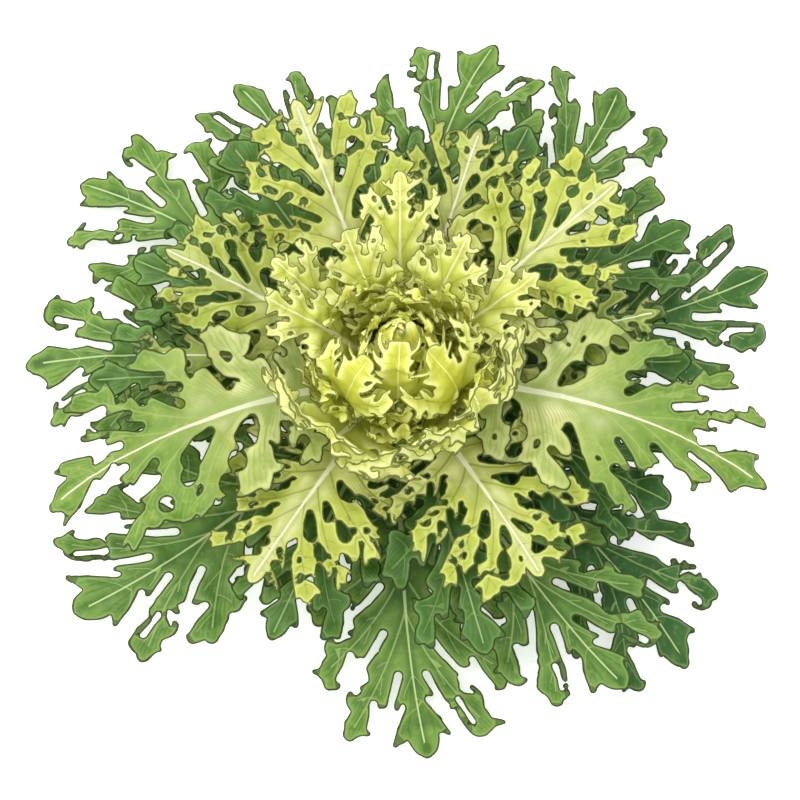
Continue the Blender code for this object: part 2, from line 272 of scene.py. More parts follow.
INNER_LEAVES = (
    (90, 88, 18, 28, 62, 34), (56, 76, 15, 30.2, 67, 52), (27, 78, 14, 28, 62, 26),
    (-42, 84, 31, 30.5, 22, 119), (-127, 86, 32, 28.5, 18, 112), (163, 76, 13, 30.5, 67, 32),
    (146, 78, 16, 27.2, 59, 36), (118, 78, 15, 31.8, 73, 50),
)
HEART_LEAVES = (
    (80, 60, 13, 32.2, 74, 100), (20, 57, 11, 33.4, 77, 103), (-38, 78, 20, 31.8, 30, 146),
    (-92, 72, 18, 33.8, 42, 146), (-136, 76, 17, 32.6, 27, 142), (150, 57, 11, 33.4, 77, 102),
)
BUD_LEAVES = (
    (-90, 40, 9, 40, 60, 120), (34, 39, 9, 40, 62, 120), (150, 39, 9, 40, 62, 120),
    (-30, 28, 6, 45, 76, 126), (90, 28, 6, 45, 76, 126), (210, 28, 6, 45, 76, 126),
)

# Where the waves of each leaf start, in radians, as in its solid
PHASES = {
    "outer_leaf": (5.65, 3.65, 1.43, 4.82, 3.86, 3.11, 6.11, 6.07, 4.58, 3.28),
    "under_leaf": (1.10, 2.64, 3.69, 0.88, 5.62, 3.16, 2.07, 3.69, 2.04, 3.33),
    "middle_leaf": (2.37, 5.27, 1.75, 1.34, 3.38, 3.76, 5.92, 0.40, 4.67, 5.66),
    "inner_leaf": (4.68, 5.55, 2.60, 4.73, 3.16, 3.34, 5.91, 5.67),
    "heart_leaf": (6.16, 4.77, 4.72, 0.69, 4.48, 3.22),
}

# Small curled leaves that fill the heart: those that close over the bud, and those round it, each with the
# heart leaf that it grows beside
BUD_CURLS = (
    (18, 54, 9, 40, 66, 122), (90, 51, 9, 40, 68, 118), (162, 54, 9, 40, 66, 124),
    (234, 50, 9, 40, 64, 116), (306, 53, 9, 40, 67, 120),
    (54, 46, 8, 42, 72, 124), (174, 45, 8, 42, 72, 122), (294, 46, 8, 42, 72, 124),
    (0, 37, 6, 44, 74, 118), (120, 36, 6, 44, 76, 112), (240, 38, 6, 44, 72, 116),
    (78, 52, 7, 40, 71, 125), (198, 50, 7, 41, 71, 125), (318, 54, 7, 40, 70, 124),
)
HEART_CURLS = (
    ("heart_leaf_04", (-110, 62, 13, 30, 38, 125)), ("heart_leaf_03", (-66, 60, 13, 30, 38, 125)),
    ("heart_leaf_05", (-150, 66, 14, 29, 28, 112)), ("heart_leaf_03", (-24, 66, 14, 29, 28, 112)),
    ("heart_leaf_04", (-88, 60, 13, 29, 26, 108)), ("heart_leaf_02", (48, 62, 12, 31, 52, 108)),
    ("heart_leaf_06", (118, 62, 12, 31, 52, 108)), ("heart_leaf_01", (98, 58, 12, 32, 56, 112)),
    ("heart_leaf_01", (66, 57, 12, 32, 56, 114)), ("heart_leaf_02", (28, 64, 13, 30, 46, 104)),
    ("heart_leaf_06", (138, 64, 13, 30, 46, 104)), ("heart_leaf_01", (82, 51, 10, 35, 62, 118)),
)

# Tint of each leaf: how deep and bluish its green is, how green its outer half is, and its lightness
TINTS = {
    "outer_leaf": (
        (0.20, 1, 0.55), (0.45, 1, 0.45), (0.75, 1, 0.40), (1.00, 1, 0.30), (0.40, 1, 0.50),
        (0.25, 1, 0.55), (0.35, 1, 0.50), (0.15, 1, 0.60), (0.05, 1, 0.60), (0.30, 1, 0.45),
    ),
    "under_leaf": (
        (0.6, 1, 0.5), (0.4, 1, 0.4), (0.3, 1, 0.5), (0.4, 1, 0.4), (0.2, 1, 0.5),
        (0.2, 1, 0.5), (0.4, 1, 0.4), (0.5, 1, 0.4), (0.9, 1, 0.4), (0.6, 1, 0.4),
    ),
    "middle_leaf": (
        (0.0, 0.20, 0.5), (0.0, 0.30, 0.5), (0.0, 0.15, 0.6), (0.3, 0.90, 0.4), (0.0, 1.00, 0.4),
        (0.0, 0.25, 0.6), (0.0, 0.20, 0.5), (0.0, 1.00, 0.4), (0.2, 0.80, 0.4), (0.0, 0.45, 0.5),
    ),
    "inner_leaf": ((0.0, 0.0, 0.85),) * 8,
    "heart_leaf": ((0.0, 0.0, 1.0),) * 6,
}
CURL_TINT = (0.0, 0.0, 1.0)

# Lightness of the bud's darkest blades, and the step to each of the four lighter ones
BUD_LIGHTNESS = 0.88
BUD_STEP = 0.03


def vein_point(egg, p, q):
    """Leaf of length and half width 1: the point a share q out on side vein p, 0 lowest and 1 the tip."""
    first = FIRST_VEIN * egg
    foot = first + (LAST_VEIN - first) * p
    turn = EGG_TURN * (1 - p)
    end_x = egg + (1 - egg) * math.cos(turn)
    end_y = max(0.0, math.sin(turn)) ** EGG_FULLNESS
    bend_x = foot + (VEIN_RUN - VEIN_RUN_FALL * p) * (end_x - foot)
    bend_y = VEIN_BEND * end_y
    x = (1 - q) ** 2 * foot + 2 * q * (1 - q) * bend_x + q * q * end_x
    return x, 2 * q * (1 - q) * bend_y + q * q * end_y


def body_radius(height):
    """Radius of the crown at a height, a barrel under a dome, or of the bud's egg-shaped core above it."""
    if height > CROWN_HEIGHT:
        share = (height - CROWN_HEIGHT) / CORE_HEIGHT
        return CORE_RADIUS * math.sqrt(max(0.0, 1 - ((share - CORE_MIDDLE) / (1 - CORE_MIDDLE)) ** 2))
    if height < CROWN_SHOULDER:
        return CUT_RADIUS + (CROWN_RADIUS - CUT_RADIUS) * math.sin(0.5 * math.pi * height / CROWN_SHOULDER)
    share = (height - CROWN_SHOULDER) / (CROWN_HEIGHT - CROWN_SHOULDER)
    return CROWN_RADIUS * math.sqrt(max(0.0, 1 - share ** CROWN_DOME))


def foot_radius(kind, leaf):
    """Distance of the leaf's foot from the axis."""
    return body_radius(leaf.foot) + kind.gap + FOOT_CLEAR * math.sin(leaf.rise)


def on_shell(kind, leaf, x, y, lift):
    """The places on the head of the flat leaf's points, raised by lift from its shell."""
    base = foot_radius(kind, leaf)
    away = np.hypot(x, y)
    along = away - base
    length = leaf.reach - base
    fall = (leaf.rise - leaf.tip) / length
    angle = leaf.rise - fall * along
    radius = base + (math.sin(leaf.rise) - np.sin(angle)) / fall
    height = leaf.foot + (np.cos(angle) - math.cos(leaf.rise)) / fall
    turn = leaf.azimuth + np.arctan2(y, x) * away / radius + leaf.sway * (along / length) ** 2
    radius = radius - lift * np.sin(angle)
    height = np.maximum(TABLE_CLEAR, height + lift * np.cos(angle))
    return np.stack((radius * np.cos(turn), radius * np.sin(turn), height), axis=1)


def wave(kind, leaf, x, y, phase):
    """Height of the leaf's waves, which grow from the midrib to the edge and from the foot outwards."""
    base = foot_radius(kind, leaf)
    along = (x - base) / (leaf.reach - base)
    share = np.minimum(1.0, np.abs(y) / (WAVE_FULL * leaf.half_width))
    share = share * np.clip((along - WAVE_START) / WAVE_GROWTH, 0.0, 1.0)
    side = np.where(y > 0, phase, phase + WAVE_STEP)
    return kind.wave * share * np.sin(math.tau * np.hypot(x, WAVE_FAN * y) / WAVE_LENGTH + side)


# The blade is drawn in millimetres as round-ended strips laid on a fine grid. How a ring's lobes are cut:
# pitch from one finger to the next; half width of a finger at its root and end, as shares of the pitch;
# half width of a lobe past its notch, as a share of its room; how far the root of a finger lies below its
# end, as a share of the lobe past the notch; half the slit between two lobes; chance of a tooth on each
# side of a finger, its length and half width; chance that two fingers are joined near their ends; half
# width of the hollow between two fingers, as a share of the pitch; how softly strips run together; step of
# the grid
Cut = namedtuple("Cut", "pitch root end spine lean slit teeth tooth point joined eye soft step")
CUTS = {
    "outer_leaf": Cut(14.5, 0.34, 0.29, 0.52, 0.22, 0.85, 1.00, 3.4, 0.85, 0.0, 0.075, 1.0, 0.4),
    "under_leaf": Cut(12.5, 0.33, 0.28, 0.50, 0.22, 0.85, 1.00, 3.0, 0.85, 0.0, 0.075, 1.0, 0.4),
    "middle_leaf": Cut(7.0, 0.30, 0.25, 0.34, 0.18, 0.6, 1.00, 2.8, 0.58, 0.50, 0.15, 0.8, 0.35),
    "long_leaf": Cut(11.5, 0.33, 0.28, 0.44, 0.24, 0.8, 1.00, 3.0, 0.75, 0.15, 0.11, 0.9, 0.4),
    "inner_leaf": Cut(5.6, 0.27, 0.21, 0.40, 0.18, 0.4, 0.90, 1.7, 0.55, 0.35, 0.13, 0.7, 0.35),
    "heart_leaf": Cut(4.6, 0.27, 0.22, 0.44, 0.18, 0.35, 0.90, 1.5, 0.50, 0.30, 0.12, 0.6, 0.3),
    "heart_bud": Cut(3.8, 0.27, 0.22, 0.44, 0.18, 0.3, 0.90, 1.3, 0.42, 0.25, 0.12, 0.5, 0.25),
}


def spot(kind, leaf, p, q, side):
    """The flat leaf's point on side vein p, in millimetres: x away from the axis and y to one side."""
    base = foot_radius(kind, leaf)
    x, y = vein_point(kind.egg, p, q)
    return np.array((base + x * (leaf.reach - base), side * y * leaf.half_width)) / MM


def apart(a, b):
    """Distance between two flat points."""
    return float(np.hypot(*(a - b)))


def plan_side(kind, rng):
    """Where the gaps between the lobes of one side lie: (p, notch, whether lace closes it) of each."""
    half = 0.5 / (kind.lobes + 0.5)
    gaps = []
    for lobe in range(kind.lobes):
        p = (2 * lobe + 2 + rng.uniform(-NOTCH_SHIFT, NOTCH_SHIFT)) * half
        closed = kind.laced and rng.random() > OPEN_SHARE
        notch = CLOSED_NOTCH if closed else kind.notch - NOTCH_DEEPER + rng.uniform(-JITTER, JITTER)
        gaps.append((p, notch, closed))
    return gaps


class Blade:
    """The flat blade on a grid: how far each of its points lies inside the edge, in millimetres."""

    def __init__(self, low, high, step):
        self.low, self.step = np.array(low), step
        self.depth = np.full([int((b - a) / step) + 1 for a, b in zip(low, high)], OUTSIDE)

    def strip(self, points, radii, soft, cut=False):
        """Lays a round-ended strip along the points, run together with what is there, or cuts it out."""
        points, radii = np.array(points), np.array(radii)
        room = radii.max() + soft + 1
        first = np.maximum(0, np.floor((points.min(axis=0) - room - self.low) / self.step).astype(int))
        last = np.maximum(0, np.ceil((points.max(axis=0) + room - self.low) / self.step).astype(int) + 1)
        part = self.depth[first[0]:last[0], first[1]:last[1]]
        if part.size == 0:
            return
        x = self.low[0] + self.step * (first[0] + np.arange(part.shape[0]))[:, None]
        y = self.low[1] + self.step * (first[1] + np.arange(part.shape[1]))[None, :]
        best = np.full(part.shape, OUTSIDE)
        for a, b, wide, narrow in zip(points, points[1:], radii, radii[1:]):
            run = b - a
            share = np.clip(((x - a[0]) * run[0] + (y - a[1]) * run[1]) / max(1e-9, run @ run), 0, 1)
            away = np.hypot(x - a[0] - share * run[0], y - a[1] - share * run[1])
            best = np.maximum(best, wide + (narrow - wide) * share - away)
        sign = -1 if cut else 1
        meet = np.maximum(soft - np.abs(sign * part - best), 0) ** 2 / (4 * soft)
        part[:] = sign * (np.maximum(sign * part, best) + meet)

    def trim(self, thin, reach):
        """Takes away slivers thinner than twice thin, except within reach of the thicker blade."""
        thick = self.depth > thin
        kept = np.zeros_like(thick)
        cells = math.ceil(reach / self.step)
        for i in range(-cells, cells + 1):
            for j in range(-cells, cells + 1):
                if math.hypot(i, j) * self.step <= reach:
                    kept |= np.roll(thick, (i, j), axis=(0, 1))
        self.depth[~kept] = np.minimum(self.depth[~kept], -0.5 * self.step)

    def edges(self):
        """Closed lines of points where the depth is zero, with the blade on their left."""
        self.depth[[0, -1]] = self.depth[:, [0, -1]] = -self.step
        inside = self.depth > 0
        count = inside.size
        across = np.arange(count).reshape(inside.shape)
        up = across + count
        case = inside[:-1, :-1] + 2 * inside[1:, :-1] + 4 * inside[1:, 1:] + 8 * inside[:-1, 1:]
        sides = (across[:-1, :-1], up[1:, :-1], across[:-1, 1:], up[:-1, :-1])
        follow = {}
        for value, pairs in CELL_EDGES.items():
            at = case == value
            for start, end in pairs:
                follow.update(zip(sides[start][at].tolist(), sides[end][at].tolist()))
        found = []
        while follow:
            start, there = follow.popitem()
            line = [start]
            while there != start:
                line.append(there)
                there = follow.pop(there)
            line = np.array(line)
            i, j = np.divmod(line % count, inside.shape[1])
            k, l = i + (line < count), j + (line >= count)
            share = self.depth[i, j] / (self.depth[i, j] - self.depth[k, l])
            cell = np.stack((i + share * (k - i), j + share * (l - j)), axis=1)
            found.append(self.low + self.step * cell)
        return found


# For the corners of a grid cell that lie in the blade (1, 2, 4 and 8, anticlockwise), the sides of the cell
# that the edge runs between
CELL_EDGES = {
    1: ((0, 3),), 2: ((1, 0),), 4: ((2, 1),), 8: ((3, 2),), 3: ((1, 3),), 6: ((2, 0),), 12: ((3, 1),),
    9: ((0, 2),), 7: ((2, 3),), 14: ((3, 0),), 13: ((0, 1),), 11: ((1, 2),), 5: ((0, 3), (2, 1)),
    10: ((1, 0), (3, 2)),
}


def area(ring):
    """Area inside a closed line, less than nothing for a clockwise one."""
    x, y = ring.T
    return 0.5 * float((x * np.roll(y, -1) - y * np.roll(x, -1)).sum())


def even(ring, step):
    """The closed line smoothed, with its points at even distances."""
    for _ in range(3):
        ring = 0.25 * np.roll(ring, 1, axis=0) + 0.5 * ring + 0.25 * np.roll(ring, -1, axis=0)
    loop = np.vstack((ring, ring[:1]))
    runs = np.concatenate(([0.0], np.cumsum(np.hypot(*np.diff(loop, axis=0).T))))
    at = np.linspace(0, runs[-1], max(8, round(runs[-1] / step)), endpoint=False)
    return np.stack((np.interp(at, runs, loop[:, 0]), np.interp(at, runs, loop[:, 1])), axis=1)


def bent(start, middle, end, count):
    """Points of a bent line."""
    s = np.linspace(0, 1, count)[:, None]
    return (1 - s) ** 2 * start + 2 * s * (1 - s) * middle + s * s * end


def fingers(blade, kind, leaf, cut, side, vein, gap, rng):
    """Lays the fingers of one flank of a lobe with their teeth, and gives their middle lines."""
    edge, notch, closed = gap
    if closed:
        notch = 0.5 * (notch + kind.notch) - BESIDE_LACE
    flank = [spot(kind, leaf, edge, q, side) for q in np.linspace(notch, 1.0, 6)]
    count = max(2, round(sum(apart(a, b) for a, b in zip(flank, flank[1:])) / cut.pitch))
    shift = SHIFT_ABOVE if edge > vein else SHIFT_BELOW
    laid = []
    for number in range(count):
        share = (number + FIRST_FINGER + shift + rng.uniform(-FINGER_STRAYS, FINGER_STRAYS)) / count
        q = notch + (1 - notch) * min(1.0, FLANK_START + FLANK_SPREAD * share)
        size = cut.pitch * rng.uniform(*FINGER_SIZES)
        wide = apart(spot(kind, leaf, edge, q, side), spot(kind, leaf, vein, q, side))
        across = 1 - (cut.end * size + cut.slit * rng.uniform(*SLIT_SIZES)) / max(wide, 0.1)
        across = max(SHORTEST_FINGER, across) * min(1.0, 1.0 - SHORTER_BY * (share - SHORTER_FROM))
        across *= edge - vein
        lean = cut.lean * (1 - notch) * (END_LEAN if vein == 1.0 else 1.0)
        low = max(0.0, q - lean - ROOT_STRAYS * rng.random())
        turn = spot(kind, leaf, vein + BEND_ACROSS * across, low + BEND_OUT * (q - low), side)
        run = bent(spot(kind, leaf, vein, low, side), turn, spot(kind, leaf, vein + across, q, side), 6)
        middle = 0.5 * (cut.root + cut.end)
        shape = (cut.root, middle, FINGER_SWELLING * cut.end, FINGER_TIP * cut.end)
        radii = size * np.interp(np.linspace(0, 1, 6), FINGER_AT, shape)
        blade.strip(run, radii, cut.soft)
        laid.append(run)
        for hand in (-1, 1):
            if rng.random() > cut.teeth:
                continue
            at = rng.choice((2, 3, 4))
            ahead = (run[at + 1] - run[at]) / apart(run[at + 1], run[at])
            aside = hand * np.array((-ahead[1], ahead[0]))
            tooth = cut.tooth * rng.uniform(*TOOTH_SIZES)
            end = run[at] + aside * (radii[at] + TOOTH_OUT * tooth) + ahead * TOOTH_AHEAD * tooth
            point = cut.point * rng.uniform(*POINT_SIZES)
            blade.strip([run[at], end], [TOOTH_ROOT * radii[at], point], 0.6 * cut.soft)
    for one, two in zip(laid, laid[1:]):
        hollow = [0.5 * (one[at] + two[at]) for at in range(2 if kind.laced else 3, 6)]
        hollow.append(3 * hollow[-1] - 2 * hollow[-2])
        wide = cut.eye * cut.pitch * rng.uniform(*HOLLOW_SIZES)
        radii = wide * np.interp(np.linspace(0, 1, len(hollow)), HOLLOW_AT, HOLLOW_SHAPE)
        blade.strip(hollow, radii, 0.5 * cut.soft, cut=True)
        if rng.random() < cut.joined:
            link = bent(one[-2], 0.5 * (one[-1] + two[-2]), two[-2], 4)
            blade.strip(link, [STRAP * cut.end * cut.pitch] * 4, 0.5 * cut.soft)
    return laid


def lobe(blade, kind, leaf, cut, side, vein, gaps, rng):
    """Lays one lobe between its gaps, and gives its veins as (points, half width in mm)."""
    notch = min(kind.notch if closed else low for _, low, closed in gaps)
    outward = np.linspace(0.0, LOBE_END + rng.uniform(-LOBE_VARIES, LOBE_VARIES), 14)
    spine = [spot(kind, leaf, vein, q, side) for q in outward]
    room = [
        min(apart(spot(kind, leaf, gap[0], q, side), at) for gap in gaps)
        for q, at in zip(outward, spine)
    ]
    # The blade fills its room below the notch, narrows to the spine of the lobe and ends in a point
    places = (0, notch - FULL_BELOW, notch - NOTCH_MARGIN, 0.85, 1.05)
    share = np.interp(outward, places, (1.15, 1.12, cut.spine, 0.8 * cut.spine, 0.12))
    radii = np.maximum(room * share, cut.end * cut.pitch)
    radii[-1] = FINGER_TIP * cut.end * cut.pitch
    blade.strip(spine, radii, cut.soft)
    lines = [(spine[:-1], MAIN_VEIN)] if vein < 1.0 else []
    for gap in gaps:
        lines += [(run[:-1], FINE_VEIN) for run in fingers(blade, kind, leaf, cut, side, vein, gap, rng)]
    return lines


def lace(blade, kind, leaf, cut, side, gaps, rng):
    """Joins the lobes on both sides of each closed gap and cuts its holes, or cuts an open one."""
    half = 0.5 / (kind.lobes + 0.5)
    for p, notch, closed in gaps:
        if not closed:
            places = (notch - NOTCH_MARGIN, notch + OPEN_PAST, 0.5 * notch + 0.5, PAST_EDGE)
            run = [spot(kind, leaf, p, q, side) for q in places]
            blade.strip(run, [share * cut.slit for share in GAP_SHAPE], 0.5, cut=True)
            continue
        outward = np.linspace(LACE_START, notch + NOTCH_MARGIN, 8)
        run = [spot(kind, leaf, p, q, side) for q in outward]
        ends = [[spot(kind, leaf, p + hand * half, q, side) for hand in (-1, 1)] for q in outward]
        room = np.array([0.5 * apart(*pair) for pair in ends])
        blade.strip(run, room * np.linspace(*LACE_FILLS, 8), cut.soft)
        for low, high, wide in LACE_HOLES:
            low += rng.uniform(-START_STRAYS, START_STRAYS)
            high += rng.uniform(-END_STRAYS, END_STRAYS)
            aside = p + rng.uniform(-HOLE_STRAYS, HOLE_STRAYS) * half
            run = [spot(kind, leaf, aside, q, side) for q in (low, 0.5 * (low + high), high)]
            big = wide * rng.uniform(*HOLE_SIZES) * np.interp(high, outward, room)
            blade.strip(run, [share * big for share in HOLE_SHAPE], 0.6, cut=True)


def flat_leaf(ring, kind, leaf, seed):
    """Edges of the flat leaf, the outer one first and all anticlockwise, and its veins, in metres."""
    cut = CUTS["long_leaf" if ring == "middle_leaf" and leaf.reach > LONG_REACH else ring]
    rng = random.Random(seed)
    gaps = {side: plan_side(kind, rng) for side in (-1, 1)}
    base, long, wide = foot_radius(kind, leaf) / MM, leaf.reach / MM, leaf.half_width / MM
    room = GRID_WIDE * wide
    blade = Blade((base - cut.step, -room), (GRID_LONG * long, room), cut.step)
    stalk = kind.stalk / MM
    top = STALK_TOP * FIRST_VEIN * kind.egg * (long - base)
    run = [(base - 6, 0), (base + top, 0), (base + STALK_RUN * (long - base), 0)]
    blade.strip(run, [stalk, STALK_FLARE * stalk, STALK_END * stalk], 1.0)
    lines = []
    for side in (-1, 1):
        rows = [(0.0, kind.notch, False)] + gaps[side]
        for low, high in zip(rows, rows[1:]):
            lines += lobe(blade, kind, leaf, cut, side, 0.5 * (low[0] + high[0]), (low, high), rng)
        lines += lobe(blade, kind, leaf, cut, side, 1.0, (rows[-1],), rng)
    for side in (-1, 1):
        lace(blade, kind, leaf, cut, side, gaps[side], rng)
    blade.trim(cut.point, THIN_KEPT * cut.point)
    found = sorted(blade.edges(), key=lambda line: -abs(area(line)))
    step = DETAILS[ring].edge
    rings = [even(found[0], step) * MM]
    rings += [even(line, step)[::-1] * MM for line in found[1:] if area(line) < -SMALLEST_HOLE]
    return rings, [([tuple(point * MM) for point in line], width) for line, width in lines]


def segments(rings, closed):
    """Start and end points of the rings' or lines' stretches."""
    starts, ends = [], []
    for ring in rings:
        ring = np.array(ring)
        starts.append(ring if closed else ring[:-1])
        ends.append(np.roll(ring, -1, axis=0) if closed else ring[1:])
    return np.concatenate(starts), np.concatenate(ends)


def distance(points, starts, ends, widths=1.0):
    """Distance of each point from the nearest stretch, measured in widths of that stretch."""
    run = ends - starts
    square = np.maximum(1e-16, (run ** 2).sum(axis=1))
    found = []
    for block in np.array_split(points, 1 + len(points) // 800):
        away = block[:, None, :] - starts[None, :, :]
        share = np.clip((away * run).sum(axis=2) / square, 0.0, 1.0)
        off = np.hypot(*np.moveaxis(away - share[:, :, None] * run, 2, 0))
        found.append((off / widths).min(axis=1))
    return np.concatenate(found)


def within(points, starts, ends):
    """Whether each point lies inside the outline and outside the windows."""
    x, y = points[:, 0, None], points[:, 1, None]
    crosses = (starts[:, 1] > y) != (ends[:, 1] > y)
    rise = np.where(starts[:, 1] == ends[:, 1], 1.0, ends[:, 1] - starts[:, 1])
    at = starts[:, 0] + (y - starts[:, 1]) / rise * (ends[:, 0] - starts[:, 0])
    return (crosses & (x < at)).sum(axis=1) % 2 == 1


def inset_points(rings, edges):
    """Points a little way in from every second point of the edges."""
    points = []
    for number, ring in enumerate(rings):
        ahead = np.roll(ring, -1, axis=0) - np.roll(ring, 1, axis=0)
        ahead = ahead / np.maximum(1e-9, np.hypot(*ahead.T))[:, None]
        inward = np.stack((-ahead[:, 1], ahead[:, 0]), axis=1) * (1 if number == 0 else -1)
        points.append((ring + INSET * MM * inward)[::2])
    points = np.concatenate(points)
    points = points[within(points, *edges)]
    return points[distance(points, *edges) > CLEAR_OF_EDGE * INSET * MM]


def blade_points(edges, veins, step):
    """Points all over the blade on a grid of triangles, clear of its edges and veins."""
    low, high = edges[0].min(axis=0), edges[0].max(axis=0)
    rows = np.arange(low[1], high[1], step * math.sqrt(0.75))
    points = []
    for number, y in enumerate(rows):
        x = np.arange(low[0] + 0.5 * step * (number % 2), high[0], step)
        points.append(np.stack((x, np.full_like(x, y)), axis=1))
    points = np.concatenate(points)
    points = points[within(points, *edges)]
    clear = distance(points, *edges) > CLEAR_OF_EDGE * step
    return points[clear & (distance(points, *veins) > CLEAR_OF_VEIN * step)]


# The fan's table of side veins and of places along each, one for each fullness of leaf
FAN_VEINS = 160
FAN_PLACES = 60
FAN_TABLES = {}


def fan_shares(kind, leaf, points):
    """Which side vein of the fan each flat point lies on, from 0 at the lowest to 1 at the tip."""
    if kind.egg not in FAN_TABLES:
        rows, places = range(FAN_VEINS + 1), range(FAN_PLACES + 1)
        shares = [(p / FAN_VEINS, q / FAN_PLACES) for p in rows for q in places]
        table = kdtree.KDTree(len(shares))
        for index, (p, q) in enumerate(shares):
            table.insert((*vein_point(kind.egg, p, q), 0.0), index)
        table.balance()
        FAN_TABLES[kind.egg] = (table, shares)
    table, shares = FAN_TABLES[kind.egg]
    base = foot_radius(kind, leaf)
    found = []
    for x, y in points:
        near = table.find_n(((x - base) / (leaf.reach - base), abs(y) / leaf.half_width, 0.0), 3)
        weights = [1 / (1e-5 + gap) ** 2 for _, _, gap in near]
        total = sum(weight * shares[index][0] for weight, (_, index, _) in zip(weights, near))
        found.append(total / sum(weights))
    return np.array(found)


def grain(points, length, seed):
    """Smooth random heights between -1 and 1 over the flat points, with waves of about the given length."""
    return np.array([noise.noise((x / length, y / length, SEED_STEP * seed)) for x, y in points])


def fill_leaf(rings, lines, step):
    """Corners and triangles of the flat blade, with its edges and veins as lines between the triangles."""
    edges = segments(rings, True)
    veins = segments([line for line, _ in lines], False)
    inner = np.concatenate((inset_points(rings, edges), blade_points(edges, veins, step)))
    points, links, loops = [], [], []
    for ring in rings:
        loops.append(list(range(len(points), len(points) + len(ring))))
        points += [tuple(point) for point in ring]
    for line, _ in lines:
        links += [(i, i + 1) for i in range(len(points), len(points) + len(line) - 1)]
        points += [tuple(point) for point in line]
    points += [tuple(point) for point in inner]
    flat = [Vector((x / MM, y / MM)) for x, y in points]
    corners, _, faces, _, _, inside = delaunay_2d_cdt(flat, links, loops, 0, 1e-4)
    kept = [face for face, rings_round in zip(faces, inside) if rings_round == [0]]
    used = sorted({corner for face in kept for corner in face})
    number = {corner: new for new, corner in enumerate(used)}
    flat = np.array([corners[corner] for corner in used]) * MM
    return flat, [[number[corner] for corner in face] for face in kept]


def line_widths(starts, lines, base, length):
    """Width of each stretch of the lines, which narrow outwards, in metres."""
    widths = np.concatenate([np.full(len(line) - 1, width * MM) for line, width in lines])
    return widths * (VEIN_FOOT - VEIN_LOSS * np.clip((np.hypot(*starts.T) - base) / length, 0, 1))


def leaf_object(name, ring, kind, leaf, seed, tint, phase, material):
    """One leaf with its lobes, fingers and lace, laid on its shell with its waves, frills and swellings."""
    detail = DETAILS[ring]
    base = foot_radius(kind, leaf)
    length = leaf.reach - base
    rings, lines = flat_leaf(ring, kind, leaf, seed)
    midrib = [(base + length * share, 0.0) for share in np.linspace(0.0, MIDRIB_RUN, 40)]
    flat, faces = fill_leaf(rings, [(midrib, MAIN_VEIN)] + lines, detail.mesh * MM)
    x, y = flat[:, 0], flat[:, 1]
    along = (x - base) / length
    edge = distance(flat, *segments(rings, True)) / MM
    reaches = []
    for width in (MAIN_VEIN, FINE_VEIN):
        same = [line for line in lines if line[1] == width]
        starts, ends = segments([line for line, _ in same], False)
        reaches.append(distance(flat, starts, ends, line_widths(starts, same, base, length)))
    vein, fine = reaches
    vein_mm = distance(flat, *segments([line for line, _ in lines], False)) / MM
    narrowing = RIB_FOOT * np.maximum(0.0, 1 - along) ** RIB_TAPER
    half_rib = kind.stalk * np.clip(narrowing, RIB_LEAST, 1.0)
    rib = np.abs(y) / half_rib
    over_rib = np.clip(1 - rib ** 2, 0.0, 1.0)
    margin = np.exp(-(edge / FRILL_WIDTH) ** 2) * np.clip((along - FRILL_START) / FRILL_GROWTH, 0.0, 1.0)
    lift = wave(kind, leaf, x, y, phase)
    for size, height, more in FRILLS:
        lift = lift + detail.frill * MM * height * margin * grain(flat, size, seed + more)
    swell = 1 - np.exp(-((np.minimum(vein_mm, np.abs(y) / MM) / SWELL_WIDTH) ** 2))
    lift = lift + detail.swell * MM * swell * np.clip(edge / SWELL_EDGE, SWELL_LEFT, 1.0)
    lift = lift + RIB_LIFT * over_rib
    roll = detail.flare if leaf.tip > 0.5 * math.pi else detail.roll
    outer = np.clip((along - ROLL_START) / ROLL_GROWTH, 0.0, 1.0)
    lift = lift - roll * MM * np.exp(-edge / ROLL_WIDTH) * outer
    mesh = bpy.data.meshes.new(name)
    mesh.from_pydata(on_shell(kind, leaf, x, y, lift).tolist(), [], faces)
    mesh.polygons.foreach_set("use_smooth", [True] * len(mesh.polygons))
    mesh.materials.append(material)
    out = np.abs(y) / (np.abs(y) + edge * MM + 1e-6)
    deep, green, light = (np.full(len(flat), share) for share in tint)
    values = {
        "leaf_lines": (rib, vein, edge),
        "leaf_spread": (along, out, fan_shares(kind, leaf, flat)),
        "leaf_tint": (deep, green, light),
        "leaf_fine": (fine, vein_mm, swell),
    }
    for label, columns in values.items():
        layer = mesh.attributes.new(label, "FLOAT_VECTOR", "POINT")
        layer.data.foreach_set("vector", np.stack(columns, axis=1).astype(np.float32).ravel())
    obj = bpy.data.objects.new(name, mesh)
    bpy.context.scene.collection.objects.link(obj)
    thicken(obj, kind, along, over_rib)
    return obj


def thicken(obj, kind, along, over_rib):
    """Solidify below the blade, with the round midrib thickest at its foot."""
    group = obj.vertex_groups.new(name="thickness")
    thin = kind.blade / kind.rib
    shares = thin + (1 - thin) * np.clip(1 - along, 0.0, 1.0) * np.sqrt(over_rib)
    for index, share in enumerate(shares):
        group.add([index], float(share), "REPLACE")
    solid = obj.modifiers.new("thickness", "SOLIDIFY")
    solid.thickness = kind.rib
    solid.offset = -1
    solid.vertex_group = group.name


def linear(code):
    """Linear colour with alpha from an sRGB hex value."""
    parts = [int(code[i:i + 2], 16) / 255 for i in (1, 3, 5)]
    return (*(c / 12.92 if c <= 0.04045 else ((c + 0.055) / 1.055) ** 2.4 for c in parts), 1.0)


def add(tree, kind, sockets=None, **settings):
    """Adds a node with its settings, and sets or links its sockets."""
    made = tree.nodes.new("ShaderNode" + kind)
    for name, value in settings.items():
        setattr(made, name, value)
    for socket, value in (sockets or {}).items():
        if isinstance(value, bpy.types.NodeSocket):
            tree.links.new(value, made.inputs[socket])
        else:
            made.inputs[socket].default_value = value
    return made


